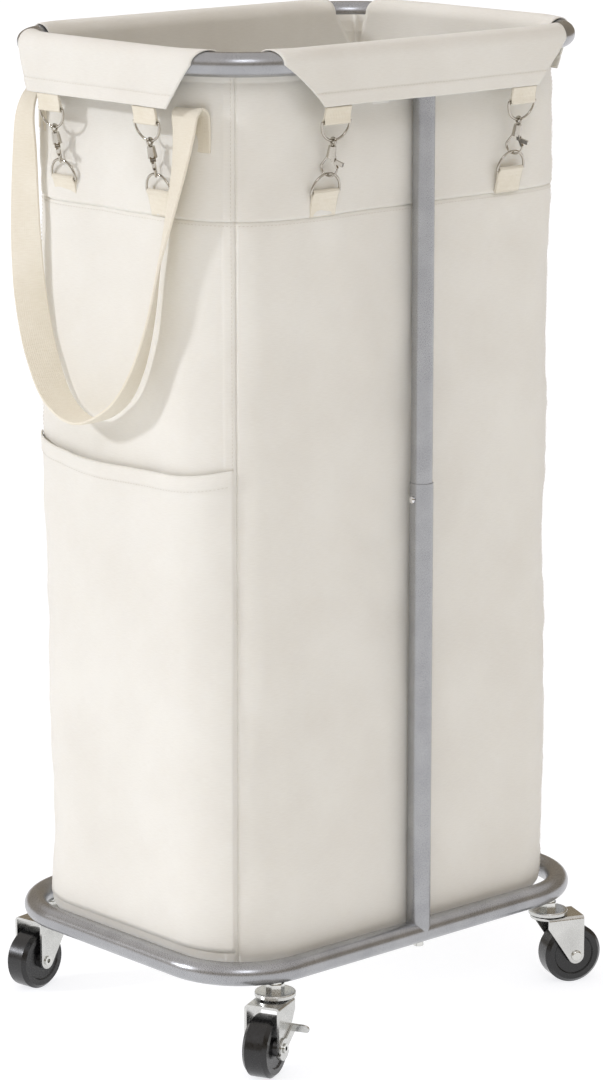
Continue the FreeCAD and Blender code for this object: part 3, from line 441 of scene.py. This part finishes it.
def patch_pocket():
    """Patch sewn down at its sides and bottom, with a turned hem along its slack top edge."""
    half = SEAM_1 - 0.0012
    columns = spread(-half, half, 90)
    rows = spread(0.0, 0.93, 92) + [0.93 + 0.07 * k / 12 for k in range(1, 13)]

    def place(s, t):
        z = POCKET_LOW + 0.001 + (pocket_top(s) - POCKET_LOW - 0.001) * t
        down = pocket_top(s) - z
        hem = 0.0007 * smooth(0.0145, 0.0135, down) - 0.0005 * math.exp(-((down - 0.0138) / 0.0009) ** 2)
        return wall_point(s, z, pocket_depth(s, z) + hem, detail=False)

    bm = cloth_grid(columns, rows, place, lambda s, t: (s, t * (POCKET_Z - POCKET_LOW)))
    return finish_piece("patch_pocket", bm, CANVAS, CLOTH, ("pocket",))


# Path of a flap's cross-section: up inside the wall, over the tube and down outside
FACING_Z = 0.757
FACING_OUT, SKIRT_OUT = -0.0122, 0.0106
FLAP_TOP = {"end": 0.104, "side": 0.151}     # half lengths over the tube
FLAP_HEM = {"end": 0.084, "side": 0.115}
FLAP_FOOT = {"end": 0.1130, "side": 0.1680}  # inside, at the facing's sewn edge


def flap_section(t):
    """Offset from the tube's centreline, height and stage of the section; t is metres along it."""
    leg = RIM_Z - FACING_Z
    radius = (SKIRT_OUT - FACING_OUT) / 2
    arc = math.pi * radius
    if t <= leg:
        return FACING_OUT, FACING_Z + t, ("facing", t / leg)
    if t <= leg + arc:
        turn = (t - leg) / radius
        middle = FACING_OUT + radius
        return middle - radius * math.cos(turn), RIM_Z + TUBE * 1.13 * math.sin(turn), ("over",
                                                                                        turn / math.pi)
    down = t - leg - arc
    return SKIRT_OUT, RIM_Z - down, ("skirt", down / (RIM_Z - HEM_Z))


SECTION = (RIM_Z - FACING_Z) + math.pi * (SKIRT_OUT - FACING_OUT) / 2 + (RIM_Z - HEM_Z)


def flap_half(kind, stage):
    """Half length of a flap along its cut ends."""
    top, hem, foot = FLAP_TOP[kind], FLAP_HEM[kind], FLAP_FOOT[kind]
    name, part = stage
    if name == "facing":
        return foot + (top + 0.004 - foot) * part ** 1.5
    if name == "over":
        return top + 0.004 - 0.004 * smooth(0.35, 1.0, part)
    return top + (hem - top) * (part * 0.80 + 0.20 * (1 - (1 - part) ** 2))


def flap_spot(kind, side, a, t):
    """Point on a flap: a runs from -1 to 1 along it, t in metres round its section."""
    out, z, stage = flap_section(t)
    along = a * flap_half(kind, stage)
    name, part = stage
    if name == "skirt":
        wave = noise.noise(Vector((along * 16, part * 1.4, side * 3.7 + len(kind))))
        crease = noise.noise(Vector((along * 30 + part * 1.2, part * 2.0, side * 9.1 + len(kind))))
        out += part * (0.0016 * wave + 0.0006) + 0.0007 * crease * smooth(0.0, 0.4, part)
        out = max(out, TUBE + CLOTH * 0.6 if part < 0.3 else SKIRT_OUT - 0.0012)
        down = z - HEM_Z
        out += 0.0005 * smooth(0.0110, 0.0100,
                               down) - 0.0004 * math.exp(-((down - 0.0105) / 0.0008) ** 2)
        z += 0.0007 * wave * part
    elif name == "over":
        out += 0.0003 * math.sin(part * math.pi) * noise.noise(Vector((along * 50, part, side)))
    flat, centre = ((RING_X - RING_CORNER, RING_Y - RING_CORNER) if kind == "end"
                    else (RING_Y - RING_CORNER, RING_X - RING_CORNER))
    reach = RING_CORNER + out
    past = max(0.0, abs(along) - flat)
    depth = centre + math.sqrt(reach ** 2 - past ** 2)
    if kind == "end":
        return Vector((along, side * depth, z))
    return Vector((side * depth, along, z))


def flap(name, kind, side):
    """Facing, fold over the tube and hanging skirt of one flap, in one sheet."""
    leg, over = RIM_Z - FACING_Z, math.pi * (SKIRT_OUT - FACING_OUT) / 2
    rows = (spread(0, leg, 8) + spread(leg, leg + over, 18)[1:]
            + spread(leg + over, SECTION - 0.013, 14)[1:] + spread(SECTION - 0.013, SECTION, 13)[1:])
    count = 110 if kind == "side" else 84
    columns = spread(-1, 1, count)
    turn = (kind == "end") == (side < 0)
    bm = cloth_grid(columns, rows, lambda a, t: flap_spot(kind, side, a, t),
                    lambda a, t: (a * FLAP_TOP[kind], t), turn=not turn)
    return finish_piece(name + "_canvas", bm, CANVAS, CLOTH, (name,))


# ------------------------------------------------------------------ webbing
TAPE = 0.026
TAPE_THICK = 0.0021


def spline(points, t):
    """Catmull-Rom curve through points; t runs from 0 to their count less one."""
    last = len(points) - 1
    i = min(int(t), last - 1)
    u = t - i
    p0, p1 = points[max(i - 1, 0)], points[i]
    p2, p3 = points[i + 1], points[min(i + 2, last)]
    return 0.5 * (2 * p1 + (p2 - p0) * u + (2 * p0 - 5 * p1 + 4 * p2 - p3) * u * u
                  + (3 * p1 - p0 - 3 * p2 + p3) * u ** 3)


def wall_y(x):
    """Distance of the bag's outer face from the middle, on an end, at x."""
    past = max(0.0, abs(x) - FLAT_X)
    return FLAT_Y + math.sqrt(BAG_CORNER ** 2 - past ** 2)


# Centreline of the handle and the heading of its width, in millimetres and degrees. Its ends lie
# flat on the wall and fold over; the loop turns on edge as it hangs, lowest left of the middle.
LEFT_END, RIGHT_END = -98.0, 91.0
LEFT_WALL, RIGHT_WALL = wall_y(0.098) * 1000, wall_y(0.091) * 1000
HANDLE_LINE = [(LEFT_END, -LEFT_WALL - 1.4, 728, -27), (LEFT_END, -LEFT_WALL - 1.4, 745, -27),
               (LEFT_END, -LEFT_WALL - 2.2, 755, -26), (LEFT_END, -LEFT_WALL - 7.0, 760.5, -22),
               (LEFT_END - 1, -LEFT_WALL - 12.5, 757, -16), (-101.3, -200, 740, -6), (-101, -201,
                                                                                      712, 6),
               (-99, -203, 673, 18), (-95.3, -205, 633.5, 30), (-88.5, -206.5, 594, 44),
               (-75, -208, 554, 60),
               (-53, -209, 520, 76), (-20, -208.5, 506.5, 90), (17, -207.5, 523, 102), (40,
                                                                                        -206.5, 552, 114),
               (56, -205.5, 592, 126), (67.5, -204.5, 641, 138), (78.4, -203, 680, 150),
               (87, -201, 716, 162),
               (91, -199.5, 742, 176), (RIGHT_END + 0.5, -RIGHT_WALL - 12.0, 757, 188),
               (RIGHT_END, -RIGHT_WALL - 7.0, 761, 195), (RIGHT_END, -RIGHT_WALL - 2.2, 756, 199),
               (RIGHT_END, -RIGHT_WALL - 1.4, 745, 200), (RIGHT_END, -RIGHT_WALL - 1.4, 728, 200)]


def handle(name, replaced):
    """Webbing loop with sewn-down ends, twisting as it hangs."""
    points = [Vector(p[:3]) * 0.001 for p in HANDLE_LINE]
    headings = [Vector((math.radians(p[3]), 0, 0)) for p in HANDLE_LINE]
    last = len(points) - 1
    rows = [last * k / 300 for k in range(301)]
    columns = [-1.0, -0.94, -0.6, -0.2, 0.2, 0.6, 0.94, 1.0]

    def place(a, t):
        here = spline(points, t)
        ahead = (spline(points, min(last, t + 0.02)) - spline(points, max(0, t - 0.02))).normalized()
        heading = spline(headings, t).x
        across = Vector((math.cos(heading), math.sin(heading), 0))
        across = (across - ahead * across.dot(ahead)).normalized()
        cup = ahead.cross(across) * (0.0006 * (1 - a * a) * math.sin(t * 0.9))
        return here + across * (a * TAPE / 2) + cup

    length = sum((spline(points, b) - spline(points, a)).length for a, b in zip(rows, rows[1:]))
    bm = cloth_grid(columns, rows, place, lambda a, t: (a * TAPE / 2, t / last * length))
    piece = finish_piece(name, bm, WEBBING, TAPE_THICK, replaced)
    edge = piece.modifiers.new("edge", "BEVEL")
    edge.width, edge.segments, edge.angle_limit = 0.0006, 2, math.radians(50)
    return piece


# Clip sets: hung from the middle of each hem, leaning in to the cross seam
HEM_OUT = 0.0106
SET_LEAN = math.atan2(RING_X + HEM_OUT - (BAG_X + 0.0013), HEM_Z - SEAM_Z)
SET_LENGTH = math.hypot(RING_X + HEM_OUT - (BAG_X + 0.0013), HEM_Z - SEAM_Z)


def set_places():
    places = []
    for turn, offset, reach in ((0, CLIP_Y, RING_X), (90, CLIP_X, RING_Y), (180, CLIP_Y, RING_X),
                                (270, CLIP_X, RING_Y)):
        for along in (-offset, offset):
            place = (Matrix.Rotation(math.radians(turn), 4, "Z")
                     @ Matrix.Translation((reach + HEM_OUT, along, HEM_Z))
                     @ Matrix.Rotation(SET_LEAN, 4, "Y"))
            places.append(place)
    return places


WIRE = 0.001


def tabs(name, bar, end, replaced):
    """Tape looped round each ring's bar with both layers sewn together."""
    way = 1 if end > bar else -1
    inner = WIRE + 0.00065
    layer = 0.00058
    path = [Vector((-layer, 0, -end)), Vector((-layer * 1.05, 0, -(bar + way * 0.0045)))]
    path += [Vector((-math.cos(a) * inner, 0, -(bar - way * math.sin(a) * inner)))
             for a in (math.pi * k / 8 for k in range(9))]
    path += [Vector((layer * 1.05, 0, -(bar + way * 0.0045))), Vector((layer, 0, -end))]
    last = len(path) - 1
    rows = [last * k / 60 for k in range(61)]
    columns = [-1.0, -0.94, -0.5, 0.0, 0.5, 0.94, 1.0]
    whole = bmesh.new()
    for number, place in enumerate(set_places()):
        def spot(a, t, place=place, number=number):
            here = spline(path, t)
            soft = 0.0004 * noise.noise(Vector((a * 2, t * 0.5, number * 2.3)))
            return place @ (here + Vector((soft, a * TAPE / 2, 0)))
        one = cloth_grid(columns, rows, spot,
                         lambda a, t: (a * TAPE / 2, t / last * abs(end - bar) * 2), turn=way > 0)
        mesh = bpy.data.meshes.new("tab")
        one.to_mesh(mesh)
        one.free()
        whole.from_mesh(mesh)
        bpy.data.meshes.remove(mesh)
    return finish_piece(name, whole, WEBBING, 0.00105, replaced)


# ------------------------------------------------------------------ stitching
def stitch_line(bm, path, pitch=0.0032, long=0.0023, thick=0.00045):
    """Thread showing as short beads along a path of (point, outward direction)."""
    line = bmesh.new()
    travelled, due = 0.0, pitch / 2
    for (a, out), (b, _) in zip(path, path[1:]):
        step = (b - a).length
        while step > 0 and travelled + step >= due:
            at = a.lerp(b, (due - travelled) / step)
            along = (b - a).normalized()
            side = out.cross(along).normalized()
            up = along.cross(side)
            turn = Matrix((along, side, up)).transposed().to_4x4()
            size = Matrix.Diagonal((long / 2, thick / 2, thick / 2, 1.0))
            bmesh.ops.create_uvsphere(line, u_segments=5, v_segments=4, radius=1.0,
                                      matrix=Matrix.Translation(at) @ turn @ size)
            due += pitch
        travelled += step
    mesh = bpy.data.meshes.new("stitches")
    line.to_mesh(mesh)
    line.free()
    bm.from_mesh(mesh)
    bpy.data.meshes.remove(mesh)


def wall_line(points, proud=0.0004, detail=True):
    return [(wall_point(s, z, proud + CLOTH / 2, detail), outline(s)[1]) for s, z in points]


HEM_STITCH = 0.0105                          # stitch row above the flaps' hems


def all_stitches():
    bm = bmesh.new()
    round_bag = [(LOOP * k / 600, SEAM_Z - 0.0035) for k in range(601)]
    stitch_line(bm, wall_line(round_bag))
    for seam, side in zip(CORNER_SEAMS, STRIP_SIDE):
        heights = [BAG_LOW + 0.012 + (WALL_TOP - 0.02 - BAG_LOW) * k / 240 for k in range(241)]
        stitch_line(bm, wall_line([(seam + side * 0.0024, z) for z in heights]))
    for kind, side in (("end", -1), ("end", 1), ("side", -1), ("side", 1)):
        row = []
        out = Vector((0, side, 0)) if kind == "end" else Vector((side, 0, 0))
        for k in range(121):
            point = flap_spot(kind, side, -0.985 + 1.97 * k / 120, SECTION - HEM_STITCH)
            row.append((point + out * (CLOTH / 2 + 0.0002), out))
        stitch_line(bm, row)
    row = []
    for k in range(121):
        s = (SEAM_1 - 0.004) * (2 * k / 120 - 1)
        z = pocket_top(s) - 0.0125
        row.append((wall_point(s, z, pocket_depth(s, z) + CLOTH / 2 + 0.0008, False), outline(s)[1]))
    stitch_line(bm, row)
    return finish_piece("stitching", bm, THREAD)


bag_shell()
patch_pocket()
for flap_name, flap_kind, flap_side in (("flap_front", "end", -1), ("flap_back", "end", 1),
                                        ("flap_left", "side", -1), ("flap_right", "side", 1)):
    flap(flap_name, flap_kind, flap_side)
handle("webbing_handle", ("handle",))
# Distances down a clip set from the flap's hem, as in the CAD
UPPER_BAR = 0.0125
RING_LEG, RING_BEND = 0.0005, 0.0145
EYE_RADIUS, EYE_WIRE, LINK_PLAY = 0.0026, 0.0009, 0.0001
BLOCK_GAP, BLOCK_LENGTH, HOOK_REACH = 0.0003, 0.009, 0.008
BOW_RADIUS, HALF_HOOK_BAR = 0.007, 0.00085
ARC_LOW = UPPER_BAR + RING_LEG + RING_BEND
EYE = ARC_LOW + (EYE_RADIUS - EYE_WIRE) - WIRE - LINK_PLAY
BLOCK_LOW = EYE + EYE_RADIUS + EYE_WIRE + BLOCK_GAP + BLOCK_LENGTH
BOW = BLOCK_LOW + HOOK_REACH
LOWER_BAR = BOW + BOW_RADIUS - HALF_HOOK_BAR - WIRE - LINK_PLAY + RING_BEND + RING_LEG
tabs("upper_tab_loops", UPPER_BAR, 0.0002, ("upper_tabs",))
tabs("lower_tab_loops", LOWER_BAR, SET_LENGTH, ("lower_tabs",))
all_stitches()


# ------------------------------------------------------------------ floor, light and camera
def floor():
    """Mid-grey sheet that glows, so it reads as white and hides most of the shadow."""
    bm = bmesh.new()
    bmesh.ops.create_grid(bm, x_segments=1, y_segments=1, size=14.0)
    mesh = bpy.data.meshes.new("floor")
    bm.to_mesh(mesh)
    bm.free()
    made = material("pale_floor", {"Base Color": colour("A2A2A2"), "Roughness": 0.9,
                                               "Specular IOR Level": 0.1,
                                               "Emission Color": colour("FBFCFF"),
                                               "Emission Strength": 0.80})[0]
    mesh.materials.append(made)
    piece = bpy.data.objects.new("floor", mesh)
    bpy.context.scene.collection.objects.link(piece)


def sun(name, toward, strength, tone, softness):
    """Distant soft light shining from the direction toward, its disc softness degrees wide."""
    lamp = bpy.data.lights.new(name, "SUN")
    lamp.energy, lamp.angle = strength, math.radians(softness)
    lamp.color = colour(tone)[:3]
    piece = bpy.data.objects.new(name, lamp)
    piece.rotation_euler = Vector(toward).to_track_quat("Z", "Y").to_euler()
    bpy.context.scene.collection.objects.link(piece)


floor()
# a key from the near left, a higher fill from the near right and a broad light overhead: what
# they don't reach is lit by the warm sky, so folds and gaps go tan
sun("key_light", (-0.45, -0.78, 0.40), 1.22, "F6F8FF", 6)
sun("fill_light", (0.60, -0.42, 0.66), 0.36, "F3F6FF", 18)
sun("top_light", (0.1, -0.1, 1.0), 1.35, "F3F6FF", 120)

world = bpy.data.worlds.new("studio")
world.use_nodes = True
sky = world.node_tree.nodes["Background"]
sky.inputs["Color"].default_value = colour("FFE9C8")
sky.inputs["Strength"].default_value = 0.30
bpy.context.scene.world = world
bpy.context.scene.view_settings.view_transform = "Standard"

lens = bpy.data.cameras.new("camera")
lens.lens, lens.sensor_width = 132.17, 36.0
camera = bpy.data.objects.new("camera", lens)
camera.location = (2.3654, -2.1372, 1.1143)
camera.rotation_euler = (math.radians(90 - 12.935), 0, math.radians(47.861))
bpy.context.scene.collection.objects.link(camera)
bpy.context.scene.camera = camera
